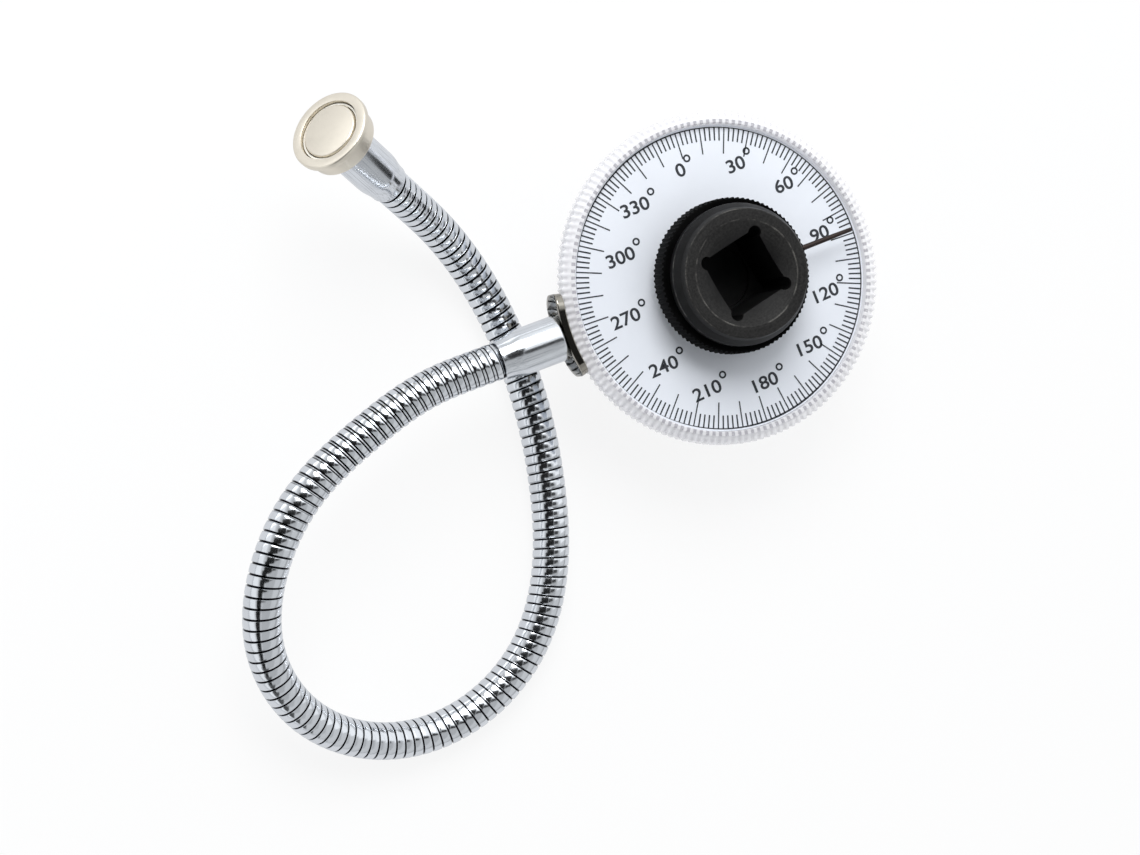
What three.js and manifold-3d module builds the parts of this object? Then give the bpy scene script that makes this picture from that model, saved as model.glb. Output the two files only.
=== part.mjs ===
// Torque angle gauge: a half inch square drive through a degree dial, held still by a bending magnet arm.
// Millimetres. Z is the drive axis, the tip of the male square stands on Z = 0 and the dial faces up.
import * as THREE from 'three';
import { mergeVertices } from 'three/addons/utils/BufferGeometryUtils.js';
import Module from 'manifold-3d';

const wasm = await Module();
wasm.setup();

const degree = Math.PI / 180;
const fullTurn = 2 * Math.PI;

// Clearances and counts used everywhere
const gap = 0.3; // air between pieces that touch on the real gauge
const overrun = 2; // how far a cut runs past the surface that it opens
const roundSides = 64;
const hiddenSides = 40;
const magnetSides = 36;
const sleeveSides = 32;
const smallSides = 16;

// Drive: male square, journal, head and female square
const squareSize = 12.7;
const squareLength = 15.4;
const squareCornerCut = 0.58; // taken off each corner, along the diagonal
const tipBevel = 1;
const socketPlay = 0.2; // female square over male square
const socketDepth = 15.5;
const cornerReliefRadius = 1.3;
const cornerReliefDepth = 0.38; // past the square's corner
const socketDrillInset = 0.25;
const socketDrillDepth = 1.2;
const journalWall = 1.5; // round the corner reliefs
const shoulderStep = 1.8;
const headOverhang = 1.2;
const headRimHeight = 2;
const headConeInset = 1;
const headConeHeight = 2;
const headLandInset = 0.4;
const headLandHeight = 1.5;
const dishLandWidth = 2.15;
const dishFloorInset = 0.45;
const dishDepth = 1.4;

// Detent ball and its spring in the male square
const ballRadius = 2.5;
const ballStand = 0.9; // how far the ball stands out of the square's face
const ballHeight = 7.7;
const ballHoleDepth = 8.6;
const springInset = 0.7; // the curls' middle line inside the ball's radius
const springWire = 0.5;
const springCurls = 3.5;
const curlSteps = 8;
const wireSides = 5;

// Washers, retaining ring and bush on the journal
const clipShoulder = 0.6;
const clipThickness = 1;
const clipWidth = 2.4;
const clipGrooveDepth = 0.8;
const clipOpening = 34 * degree;
const clipEyeRadius = 1.5;
const clipEyeHole = 0.7;
const washerThickness = 0.8;
const washerWidth = 3.4;
const waveSheet = 0.35;
const waveHeight = 0.9;
const waveWidth = 3.2;
const waveCount = 3;
const thrustThickness = 0.7;
const thrustWidth = 2;
const bushWall = 2;

// Dial and its clear knurled bezel
const dialRadius = 30.4;
const dialThickness = 0.8;
const floorThickness = 1.8;
const rimWall = 2.7;
const rimLip = 1.6; // how far the rim stands above the dial's face
const rimBevelWidth = 1.8;
const rimBevelHeight = 1;
const rimTeeth = 144;
const rimToothDepth = 0.5;

// Knurled pointer collar and pointer
const collarLift = 1.9;
const collarHeight = 6;
const collarWall = 2.3;
const collarTeeth = 90;
const collarToothDepth = 0.35;
const collarBevel = 0.5;
const pointerAngle = -11.5 * degree;
const pointerShort = 2.4; // from the pointer's tip to the dial's edge
const pointerRise = 1.4; // above the collar's lower edge
const pointerRadius = 0.6;
const pointerTipRadius = 0.4;
const pointerSeat = 1.8;

// Bracket with its upturned tab outside the rim
const armAngle = 167.8 * degree;
const bracketThickness = 1.2;
const bracketRingWidth = 4.6;
const bracketStripWidth = 12;
const tabThickness = 1.5;
const tabWidth = 17;
const tabHeight = 8.2;
const tabCorner = 2.6;
const screwRadius = 1.5;
const screwHeadRadius = 2.6;
const screwLength = 7;

// Ferrules
const armFerruleLength = 13;
const armFerruleFlare = 0.55;
const magnetFerruleLength = 15.5;
const magnetFerruleFlare = 0.55;
const ferruleMouthWall = 0.5;
const ferruleNeckLength = 4.6;
const ferruleEdge = 0.35;
const ferruleNeckSteps = 5;

// Gooseneck: a ribbed steel tube
const tubeRadius = 3.75;
const tubeWall = 0.7; // under the grooves
const ribPitch = 1.9;
const ribDepth = 0.45;
const tubeSides = 8;
const ribsPerBoreRing = 5;
const spigotLength = 5.5;
const curveLength = 247;
const straightRun = 2 * tubeRadius;
const lastRunExtra = 2;
const headingTurns = [0, 16, 23.5, 43, 66, 97.5, 127.5, 155.5, 185, 210.5, 235, 251.5, 260, 268.5,
  278.5, 293, 309]; // degrees turned from the arm's own direction, at equal steps along the curve
const dropStartShare = 0.2;
const dropEndShare = 0.5;
const riseStartShare = 0.86;
const riseAngle = 39 * degree;
const routeSteps = 2400;
const bendShares = [0.07, 0.3, 0.6, 0.9]; // where the arm's stretches meet, along its whole length

// Pot magnet
const magnetRadius = 8.1;
const magnetFlangeHeight = 1.3;
const magnetStep = 1;
const magnetHeight = 4.8;
const magnetBevel = 0.35;
const magnetWall = 1.85;
const magnetFloor = 1.7;
const magnetGroove = 0.75;
const discRecess = 0.15;
const spacerWall = 0.35;
const spacerRecess = 0.7;
const spacerAir = 0.2;

// Radii of the drive, from the square outwards, and of what sits on it
const squareCornerRadius = squareSize * Math.SQRT1_2 - squareCornerCut;
const socketSize = squareSize + socketPlay;
const socketDrillRadius = socketSize / 2 - socketDrillInset;
const cornerReliefReach = socketSize * Math.SQRT1_2 + cornerReliefDepth;
const journalRadius = cornerReliefReach + journalWall;
const shoulderRadius = journalRadius + shoulderStep;
const headRadius = shoulderRadius + headOverhang;
const headConeRadius = headRadius - headConeInset;
const headLandRadius = headConeRadius - headLandInset;
const dishRadius = headLandRadius - dishLandWidth;
const dishFloorRadius = socketSize / 2 - dishFloorInset;
const springRadius = ballRadius - springInset;
const collarRadius = shoulderRadius + gap + collarWall;
const rimRadius = dialRadius + gap + rimWall;
const pointerReach = dialRadius - pointerShort;

// Heights of the stack on the journal, each from the piece below it
const clipZ = squareLength + clipShoulder;
const washerZ = clipZ + clipThickness + gap;
const bracketZ = washerZ + washerThickness + gap;
const waveZ = bracketZ + bracketThickness + gap;
const floorZ = waveZ + waveHeight + gap;
const dialZ = floorZ + floorThickness + gap;
const faceZ = dialZ + dialThickness;
const thrustZ = faceZ + gap;
const shoulderZ = thrustZ + thrustThickness + gap;
const collarZ = shoulderZ + collarLift;
const headZ = collarZ + collarHeight + gap;
const topZ = headZ + headRimHeight + headConeHeight + headLandHeight;
const rimTopZ = faceZ + rimLip;

// Radii shared by neighbours
const boreRadius = journalRadius + gap;
const clipInner = journalRadius - clipGrooveDepth + gap;
const spigotRadius = tubeRadius - ribDepth;
const tubeBore = spigotRadius - tubeWall;
const ferruleMouthRadius = spigotRadius + gap + ferruleMouthWall;
const armFerruleRadius = ferruleMouthRadius + armFerruleFlare;
const magnetFerruleRadius = ferruleMouthRadius + magnetFerruleFlare;
const magnetBackRadius = magnetRadius - magnetStep;
const magnetPocketRadius = magnetRadius - magnetWall;
const discRadius = magnetPocketRadius - magnetGroove;
const screwHeadDrop = screwHeadRadius - screwRadius;
const tabInner = rimRadius + gap;
const tabOuter = tabInner + tabThickness;
const ferruleStart = tabOuter + gap;
const mouthRadius = ferruleStart + armFerruleLength;
const armZ = bracketZ + tabHeight / 2;

// Metals, plastics and paint
const paint = (color, metalness, roughness) => (
  new THREE.MeshStandardMaterial({ color, metalness, roughness })
);
const blackOxide = paint('#2a2a2b', 0.7, 0.45);
const chrome = paint('#d3d7dc', 1, 0.15);
const nickel = paint('#b9b6b0', 1, 0.25);
const warmNickel = paint('#e6dfd2', 0.8, 0.35);
const bluedWire = paint('#3a2f2c', 0.7, 0.4);
const dialWhite = paint('#eef3fb', 0, 0.5);
const clearPlastic = new THREE.MeshStandardMaterial({
  color: '#f2f5f8', roughness: 0.1, transparent: true, opacity: 0.4,
});
const plainSteel = paint('#9a9c9f', 1, 0.35);
const bronze = paint('#b08a50', 1, 0.4);
const nylon = paint('#e9e6de', 0, 0.6);

const gauge = new THREE.Group();
gauge.name = 'torque_angle_gauge';

function addPiece(name, geometry, material, group = gauge) {
  const mesh = new THREE.Mesh(geometry, material);
  mesh.name = name;
  group.add(mesh);
  return mesh;
}

// Merged vertices, no flat triangles, faces pointing out
function closeGeometry(geometry) {
  const bare = geometry.index ? geometry.clone() : geometry;
  bare.deleteAttribute('normal');
  bare.deleteAttribute('uv');
  const merged = mergeVertices(bare);
  const point = (i) => new THREE.Vector3().fromBufferAttribute(merged.attributes.position, i);
  const kept = [];
  let volume = 0;
  for (let i = 0; i < merged.index.count; i += 3) {
    const [a, b, c] = [0, 1, 2].map((k) => merged.index.getX(i + k));
    if (a === b || b === c || c === a) continue;
    kept.push([a, b, c]);
    volume += point(a).dot(point(b).cross(point(c)));
  }
  merged.setIndex(kept.flatMap(([a, b, c]) => (volume < 0 ? [a, c, b] : [a, b, c])));
  return merged;
}

function toSolid(geometry) {
  const closed = closeGeometry(geometry);
  return new wasm.Manifold(new wasm.Mesh({
    numProp: 3,
    vertProperties: new Float32Array(closed.attributes.position.array),
    triVerts: new Uint32Array(closed.index.array),
  }));
}

function toGeometry(solid) {
  const mesh = solid.getMesh();
  const geometry = new THREE.BufferGeometry();
  geometry.setAttribute('position', new THREE.BufferAttribute(new Float32Array(mesh.vertProperties), 3));
  geometry.setIndex(new THREE.BufferAttribute(new Uint32Array(mesh.triVerts), 1));
  return geometry;
}

// A turned shape about Z from [radius, height] points; a shape with a bore repeats its first point
function turned(profile, sides = roundSides) {
  const points = profile.map(([r, z]) => new THREE.Vector2(r, z));
  return closeGeometry(new THREE.LatheGeometry(points, sides).rotateX(Math.PI / 2));
}

function ring(inner, outer, low, high, sides = roundSides) {
  return turned([[inner, low], [outer, low], [outer, high], [inner, high], [inner, low]], sides);
}

function disc(radius, low, high, sides = roundSides) {
  return turned([[0, low], [radius, low], [radius, high], [0, high]], sides);
}

function plate(shape, low, high) {
  const options = { depth: high - low, bevelEnabled: false, curveSegments: 16 };
  return new THREE.ExtrudeGeometry(shape, options).translate(0, 0, low);
}

function rectangle(width, height, corner = 0) {
  const [x, y] = [width / 2, height / 2];
  const shape = new THREE.Shape();
  if (!corner) return shape.moveTo(-x, -y).lineTo(x, -y).lineTo(x, y).lineTo(-x, y).closePath();
  shape.moveTo(corner - x, -y).lineTo(x - corner, -y);
  shape.absarc(x - corner, corner - y, corner, -Math.PI / 2, 0);
  shape.lineTo(x, y - corner).absarc(x - corner, y - corner, corner, 0, Math.PI / 2);
  shape.lineTo(corner - x, y).absarc(corner - x, y - corner, corner, Math.PI / 2, Math.PI);
  shape.lineTo(-x, corner - y).absarc(corner - x, corner - y, corner, Math.PI, 1.5 * Math.PI);
  return shape;
}

// A toothed outline, tip to root to tip
function knurledPlate(radius, depth, teeth, low, high) {
  const points = [];
  for (let i = 0; i < 2 * teeth; i += 1) {
    const r = i % 2 ? radius - depth : radius;
    const a = (i / (2 * teeth)) * fullTurn;
    points.push(new THREE.Vector2(r * Math.cos(a), r * Math.sin(a)));
  }
  return plate(new THREE.Shape(points), low, high);
}

// A closed skin over a loop of rings with the same number of points
function skin(rings) {
  const sides = rings[0].length;
  const positions = rings.flat().flatMap((p) => [p.x, p.y, p.z]);
  const index = [];
  for (let i = 0; i < rings.length; i += 1) {
    for (let k = 0; k < sides; k += 1) {
      const a = i * sides + k;
      const b = i * sides + ((k + 1) % sides);
      const c = ((i + 1) % rings.length) * sides + ((k + 1) % sides);
      const d = ((i + 1) % rings.length) * sides + k;
      index.push(a, b, c, a, c, d);
    }
  }
  const geometry = new THREE.BufferGeometry();
  geometry.setAttribute('position', new THREE.Float32BufferAttribute(positions, 3));
  geometry.setIndex(index);
  return closeGeometry(geometry);
}

function makeDrive() {
  const grooveRadius = journalRadius - clipGrooveDepth;
  const body = toSolid(turned([
    [0, squareLength], [journalRadius, squareLength], [journalRadius, clipZ - gap],
    [grooveRadius, clipZ - gap], [grooveRadius, clipZ + clipThickness + gap],
    [journalRadius, clipZ + clipThickness + gap],
    [journalRadius, shoulderZ], [shoulderRadius, shoulderZ], [shoulderRadius, headZ], [headRadius, headZ],
    [headRadius, headZ + headRimHeight], [headConeRadius, headZ + headRimHeight + headConeHeight],
    [headLandRadius, topZ], [dishRadius, topZ], [dishFloorRadius, topZ - dishDepth], [0, topZ - dishDepth],
  ]));
  const bar = toSolid(plate(rectangle(squareSize, squareSize), 0, squareLength + overrun));
  const corners = toSolid(turned([
    [0, 0], [squareCornerRadius - tipBevel, 0], [squareCornerRadius, tipBevel],
    [squareCornerRadius, squareLength + overrun], [0, squareLength + overrun],
  ]));
  const floor = topZ - socketDepth;
  let hollow = toSolid(plate(rectangle(socketSize, socketSize), floor, topZ + overrun));
  hollow = hollow.add(toSolid(disc(socketDrillRadius, floor - socketDrillDepth, topZ)));
  const reach = (cornerReliefReach - cornerReliefRadius) * Math.SQRT1_2;
  for (const [x, y] of [[reach, reach], [-reach, reach], [-reach, -reach], [reach, -reach]]) {
    const relief = disc(cornerReliefRadius, floor, topZ + overrun, smallSides).translate(x, y, 0);
    hollow = hollow.add(toSolid(relief));
  }
  const face = squareSize / 2;
  const hole = disc(ballRadius + gap, 0, ballHoleDepth + overrun, smallSides).rotateY(Math.PI / 2);
  hole.translate(face - ballHoleDepth, 0, ballHeight);
  const drive = body.add(bar.intersect(corners)).subtract(hollow).subtract(toSolid(hole));
  addPiece('drive_body', toGeometry(drive), blackOxide);
}

function makeDetent() {
  const face = squareSize / 2;
  const ballX = face + ballStand - ballRadius;
  const ball = new THREE.SphereGeometry(ballRadius, smallSides, smallSides / 2);
  addPiece('detent_ball', closeGeometry(ball), plainSteel).position.set(ballX, 0, ballHeight);
  const start = face - ballHoleDepth + gap + springWire / 2;
  const end = ballX - ballRadius - gap - springWire / 2;
  const centres = [];
  const rings = [];
  for (let i = 0; i <= springCurls * curlSteps; i += 1) {
    const share = i / (springCurls * curlSteps);
    const a = share * springCurls * fullTurn;
    const out = new THREE.Vector3(0, Math.cos(a), Math.sin(a));
    const along = new THREE.Vector3(1, 0, 0);
    const centre = out.clone().multiplyScalar(springRadius).setX(start + share * (end - start));
    centre.z += ballHeight;
    centres.push(centre);
    rings.push(Array.from({ length: wireSides }, (_, k) => {
      const t = (k / wireSides) * fullTurn;
      return centre.clone().addScaledVector(out, (springWire / 2) * Math.cos(t))
        .addScaledVector(along, (springWire / 2) * Math.sin(t));
    }));
  }
  const cap = (points) => {
    const middle = points.reduce((sum, p) => sum.add(p), new THREE.Vector3()).divideScalar(wireSides);
    return points.map(() => middle);
  };
  const coil = [cap(rings[0]), ...rings, cap(rings[rings.length - 1])];
  addPiece('detent_spring', skin(coil), plainSteel);
  let least = Infinity;
  centres.forEach((centre, i) => centres.slice(i + curlSteps / 2).forEach((other) => {
    least = Math.min(least, centre.distanceTo(other) - springWire);
  }));
  return least;
}

function makeRetainingRing() {
  const outer = clipInner + clipWidth;
  const eye = clipInner + clipWidth / 2 + clipEyeHole;
  const half = clipOpening / 2;
  const shape = new THREE.Shape();
  shape.absarc(0, 0, outer, half, fullTurn - half, false);
  shape.absarc(0, 0, clipInner, fullTurn - half, half, true);
  let clip = toSolid(plate(shape, clipZ, clipZ + clipThickness));
  for (const a of [half, -half]) {
    const place = [eye * Math.cos(a), eye * Math.sin(a), 0];
    const lug = disc(clipEyeRadius, clipZ, clipZ + clipThickness, smallSides).translate(...place);
    const hole = disc(clipEyeHole, clipZ - overrun, clipZ + clipThickness + overrun, smallSides);
    clip = clip.add(toSolid(lug)).subtract(toSolid(hole.translate(...place)));
  }
  const clear = toSolid(disc(clipInner, clipZ - overrun, clipZ + clipThickness + overrun));
  addPiece('retaining_ring', toGeometry(clip.subtract(clear)), blackOxide);
}

function makeWashers() {
  const washer = (width, low, high) => ring(boreRadius, boreRadius + width, low, high, hiddenSides);
  addPiece('backing_washer', washer(washerWidth, washerZ, washerZ + washerThickness), plainSteel);
  addPiece('thrust_washer', washer(thrustWidth, thrustZ, thrustZ + thrustThickness), nylon);
  const wave = washer(waveWidth, waveZ, waveZ + waveSheet);
  const place = wave.attributes.position;
  for (let i = 0; i < place.count; i += 1) {
    const a = Math.atan2(place.getY(i), place.getX(i));
    place.setZ(i, place.getZ(i) + ((waveHeight - waveSheet) * (1 + Math.cos(waveCount * a))) / 2);
  }
  addPiece('wave_washer', wave, plainSteel);
}

function makeScale() {
  const bushOuter = boreRadius + bushWall;
  addPiece('scale_bush', ring(boreRadius, bushOuter, floorZ, floorZ + floorThickness, hiddenSides), bronze);
  addPiece('dial_plate', ring(boreRadius, dialRadius, dialZ, faceZ), dialWhite);
  const slope = rimBevelHeight / rimBevelWidth;
  const bevelEnd = rimRadius - rimBevelWidth;
  const edge = rimRadius + overrun;
  const envelope = turned([
    [0, floorZ], [edge, floorZ], [edge, rimTopZ - slope * (edge - bevelEnd)],
    [bevelEnd, rimTopZ], [0, rimTopZ],
  ]);
  const hollow = turned([
    [0, floorZ - overrun], [bushOuter + gap, floorZ - overrun], [bushOuter + gap, dialZ - gap],
    [dialRadius + gap, dialZ - gap], [dialRadius + gap, rimTopZ + overrun], [0, rimTopZ + overrun],
  ]);
  const knurl = knurledPlate(rimRadius, rimToothDepth, rimTeeth, floorZ - overrun, rimTopZ + overrun);
  const bezel = toSolid(knurl).intersect(toSolid(envelope)).subtract(toSolid(hollow));
  addPiece('bezel', toGeometry(bezel), clearPlastic);
}

function makePointer() {
  const high = collarZ + collarHeight;
  const edge = collarRadius + overrun;
  const envelope = turned([
    [0, collarZ], [collarRadius - collarBevel, collarZ], [edge, collarZ + collarBevel + overrun],
    [edge, high - collarBevel - overrun], [collarRadius - collarBevel, high], [0, high],
  ]);
  const knurl = knurledPlate(collarRadius, collarToothDepth, collarTeeth, collarZ - overrun, high + overrun);
  const bore = disc(shoulderRadius + gap, collarZ - overrun, high + overrun);
  const seat = collarRadius - pointerSeat;
  const pin = turned([
    [0, seat], [pointerRadius, seat], [pointerRadius, collarRadius],
    [pointerTipRadius, pointerReach - pointerTipRadius],
    [pointerTipRadius / 2, pointerReach], [0, pointerReach],
  ], smallSides / 2);
  const hole = disc(pointerRadius + gap, seat - gap, edge, smallSides).rotateY(Math.PI / 2);
  hole.rotateZ(pointerAngle).translate(0, 0, collarZ + pointerRise);
  const collar = toSolid(knurl).intersect(toSolid(envelope)).subtract(toSolid(bore)).subtract(toSolid(hole));
  addPiece('pointer_collar', toGeometry(collar), blackOxide);
  const pointer = addPiece('pointer', pin.rotateY(Math.PI / 2), bluedWire);
  pointer.position.z = collarZ + pointerRise;
  pointer.rotation.z = pointerAngle;
}

// Everything in this group is drawn with the arm along X
function makeBracket(arm) {
  const ringOuter = boreRadius + bracketRingWidth;
  const high = bracketZ + bracketThickness;
  const eye = toSolid(disc(ringOuter, bracketZ, high));
  const strip = plate(rectangle(tabOuter, bracketStripWidth), bracketZ, high).translate(tabOuter / 2, 0, 0);
  const tabTop = bracketZ + tabHeight;
  const shell = toSolid(ring(tabInner, tabOuter, bracketZ - overrun, tabTop + overrun, 2 * roundSides));
  const window = plate(rectangle(tabWidth, tabHeight, tabCorner), 0, tabOuter + overrun);
  window.rotateX(Math.PI / 2).rotateZ(Math.PI / 2).translate(0, 0, armZ);
  const tab = shell.intersect(toSolid(window));
  const inside = toSolid(disc(tabOuter, bracketZ - overrun, high + overrun, 2 * roundSides));
  const bore = toSolid(disc(boreRadius, bracketZ - overrun, high + overrun));
  const hole = turned([
    [0, tabInner - overrun], [screwHeadRadius + gap, tabInner - overrun], [screwHeadRadius + gap, tabInner],
    [screwRadius + gap, tabOuter], [screwRadius + gap, tabOuter + overrun], [0, tabOuter + overrun],
  ], smallSides).rotateY(Math.PI / 2).translate(0, 0, armZ);
  const bracket = eye.add(toSolid(strip).intersect(inside)).add(tab).subtract(bore).subtract(toSolid(hole));
  addPiece('arm_bracket', toGeometry(bracket), nickel, arm);
  const screw = turned([
    [0, tabInner], [screwHeadRadius, tabInner], [screwRadius, tabOuter],
    [screwRadius, tabInner + screwLength], [0, tabInner + screwLength],
  ], smallSides).rotateY(Math.PI / 2);
  addPiece('arm_screw', screw, plainSteel, arm).position.z = armZ;
}

// A sleeve along Z, from its foot at zero to its mouth, which takes the tube's spigot
function ferrule(length, radius) {
  const bore = spigotRadius + gap;
  const seat = length - spigotLength - gap;
  const profile = [[screwRadius + gap, 0], [radius - ferruleEdge, 0], [radius, ferruleEdge]];
  for (let i = 0; i <= ferruleNeckSteps; i += 1) {
    const t = i / ferruleNeckSteps;
    const r = radius - ((radius - ferruleMouthRadius) * (1 - Math.cos(t * Math.PI))) / 2;
    profile.push([r, length - ferruleNeckLength + t * (ferruleNeckLength - ferruleEdge)]);
  }
  profile.push([ferruleMouthRadius - ferruleEdge / 2, length], [bore, length], [bore, seat]);
  profile.push([screwRadius + gap, seat], [screwRadius + gap, 0]);
  return turned(profile, sleeveSides);
}

// Smooth curve through a table at equal steps, for a share from 0 to 1
function throughTable(table, share) {
  const last = table.length - 1;
  const x = Math.min(Math.max(share, 0), 1) * last;
  const i = Math.min(Math.floor(x), last - 1);
  const f = x - i;
  const [a, b, c, d] = [-1, 0, 1, 2].map((k) => table[Math.min(Math.max(i + k, 0), last)]);
  return b + 0.5 * f * (c - a + f * (2 * a - 5 * b + 4 * c - d + f * (3 * (b - c) + d - a)));
}

function smoothShare(x) {
  const t = Math.min(Math.max(x, 0), 1);
  return t * t * (3 - 2 * t);
}

// Height of the tube's axis along its curve: level, down to the table, level, then up to the magnet
function routeHeight(share) {
  const drop = smoothShare((share - dropStartShare) / (dropEndShare - dropStartShare));
  const climb = Math.max(share - riseStartShare, 0) / (1 - riseStartShare);
  const rise = (Math.sin(riseAngle) * curveLength * (1 - riseStartShare)) / 2;
  return armZ - (armZ - tubeRadius) * drop + rise * climb * climb;
}

// Points and directions of the tube's axis, from the arm ferrule's mouth to the magnet ferrule's
function makeRoute() {
  const ahead = new THREE.Vector3(Math.cos(armAngle), Math.sin(armAngle), 0);
  const place = ahead.clone().multiplyScalar(mouthRadius).setZ(armZ);
  const points = [{ at: place.clone(), ahead: ahead.clone() }];
  place.addScaledVector(ahead, straightRun);
  points.push({ at: place.clone(), ahead: ahead.clone() });
  for (let i = 0; i < routeSteps; i += 1) {
    const rise = routeHeight((i + 1) / routeSteps) - routeHeight(i / routeSteps);
    const climb = (rise * routeSteps) / curveLength;
    const heading = armAngle + degree * throughTable(headingTurns, (i + 0.5) / routeSteps);
    const level = Math.sqrt(1 - climb * climb);
    ahead.set(level * Math.cos(heading), level * Math.sin(heading), climb);
    place.addScaledVector(ahead, curveLength / routeSteps);
    points.push({ at: place.clone(), ahead: ahead.clone() });
  }
  place.addScaledVector(ahead, straightRun + lastRunExtra);
  points.push({ at: place.clone(), ahead: ahead.clone() });
  return points;
}

const route = makeRoute();
const armLength = curveLength + 2 * straightRun + lastRunExtra;

// The axis at a distance from the mouth; before the start and past the end it runs straight on
function onRoute(distance) {
  const along = (distance - straightRun) / curveLength;
  let from = route[0];
  let past = distance;
  if (along >= 1) {
    from = route[route.length - 2];
    past = distance - straightRun - curveLength;
  } else if (along > 0) {
    const i = Math.floor(along * routeSteps);
    from = { at: route[i + 1].at, ahead: route[i + 2].ahead };
    past = distance - straightRun - (i * curveLength) / routeSteps;
  }
  return { at: from.at.clone().addScaledVector(from.ahead, past), ahead: from.ahead };
}

function tubeRing(distance, radius) {
  const { at, ahead } = onRoute(distance);
  const side = new THREE.Vector3(-ahead.y, ahead.x, 0).normalize();
  const up = ahead.clone().cross(side);
  return Array.from({ length: tubeSides }, (_, k) => {
    const a = (k / tubeSides) * fullTurn;
    return at.clone().addScaledVector(side, radius * Math.cos(a)).addScaledVector(up, radius * Math.sin(a));
  });
}

// One stretch of ribbed tube with its bore; the first and last carry the spigots inside the ferrules
function makeStretch(name, start, end, isFirst, isLast) {
  const low = start + gap / 2;
  const high = end - gap / 2;
  const ribs = Math.round((high - low) / ribPitch);
  const pitch = (high - low) / ribs;
  const outer = [];
  if (isFirst) outer.push(tubeRing(-spigotLength, spigotRadius), tubeRing(low, spigotRadius));
  for (let i = 0; i <= ribs; i += 1) {
    outer.push(tubeRing(low + i * pitch, tubeRadius - ribDepth + (i % ribs ? 0 : ribDepth / 2)));
    if (i < ribs) outer.push(tubeRing(low + (i + 0.5) * pitch, tubeRadius));
  }
  if (isLast) outer.push(tubeRing(high, spigotRadius), tubeRing(armLength + spigotLength, spigotRadius));
  const from = isFirst ? -spigotLength : low;
  const to = isLast ? armLength + spigotLength : high;
  const boreRings = Math.max(2, Math.round(ribs / ribsPerBoreRing));
  const bore = [];
  for (let i = boreRings; i >= 0; i -= 1) {
    bore.push(tubeRing(from + ((to - from) * i) / boreRings, tubeBore));
  }
  addPiece(name, skin([...outer, ...bore]), chrome);
}

function makeMagnet() {
  const end = onRoute(armLength);
  const head = new THREE.Group();
  head.position.copy(end.at);
  head.quaternion.setFromUnitVectors(new THREE.Vector3(0, 0, 1), end.ahead);
  gauge.add(head);
  const sleeve = ferrule(magnetFerruleLength, magnetFerruleRadius).rotateX(Math.PI);
  addPiece('magnet_ferrule', sleeve, chrome, head).position.z = magnetFerruleLength;
  const low = magnetFerruleLength + gap;
  const high = low + magnetHeight;
  const floor = low + magnetFloor;
  const flange = high - magnetFlangeHeight;
  const cup = turned([
    [screwRadius + gap, low], [magnetBackRadius - magnetBevel, low], [magnetBackRadius, low + magnetBevel],
    [magnetBackRadius, flange], [magnetRadius - magnetBevel, flange], [magnetRadius, flange + magnetBevel],
    [magnetRadius, high - magnetBevel], [magnetRadius - magnetBevel, high], [magnetPocketRadius, high],
    [magnetPocketRadius, floor], [screwHeadRadius + gap, floor],
    [screwRadius + gap, floor - screwHeadDrop], [screwRadius + gap, low],
  ], magnetSides);
  addPiece('magnet_cup', cup, warmNickel, head);
  addPiece('magnet_disc', disc(discRadius, floor + gap, high - discRecess, magnetSides), warmNickel, head);
  const spacerInner = discRadius + spacerAir;
  const spacer = ring(spacerInner, spacerInner + spacerWall, floor + gap, high - spacerRecess, magnetSides);
  addPiece('magnet_spacer', spacer, nylon, head);
  const headTop = floor - gap / 2;
  const screw = turned([
    [0, headTop - screwLength], [screwRadius, headTop - screwLength],
    [screwRadius, headTop - screwHeadDrop], [screwHeadRadius, headTop], [0, headTop],
  ], smallSides);
  addPiece('magnet_screw', screw, plainSteel, head);
}

makeDrive();
const curlGap = makeDetent();
makeRetainingRing();
makeWashers();
makeScale();
makePointer();

const arm = new THREE.Group();
arm.rotation.z = armAngle;
gauge.add(arm);
makeBracket(arm);
const armSleeve = ferrule(armFerruleLength, armFerruleRadius).rotateY(Math.PI / 2);
addPiece('arm_ferrule', armSleeve, chrome, arm).position.set(ferruleStart, 0, armZ);

const cuts = [0, ...bendShares.map((share) => share * armLength), armLength];
for (let i = 0; i + 1 < cuts.length; i += 1) {
  makeStretch(`gooseneck_${i + 1}`, cuts[i], cuts[i + 1], i === 0, i + 2 === cuts.length);
}
makeMagnet();

console.log(`detent spring, least gap between curls ${curlGap.toFixed(2)} mm`);

export default gauge;
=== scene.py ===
# Torque angle gauge: the finished pieces, their finishes and the studio.
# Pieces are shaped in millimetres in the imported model's frame and made in metres.
import math

import bmesh
import bpy
from mathutils import Matrix, Vector


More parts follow.
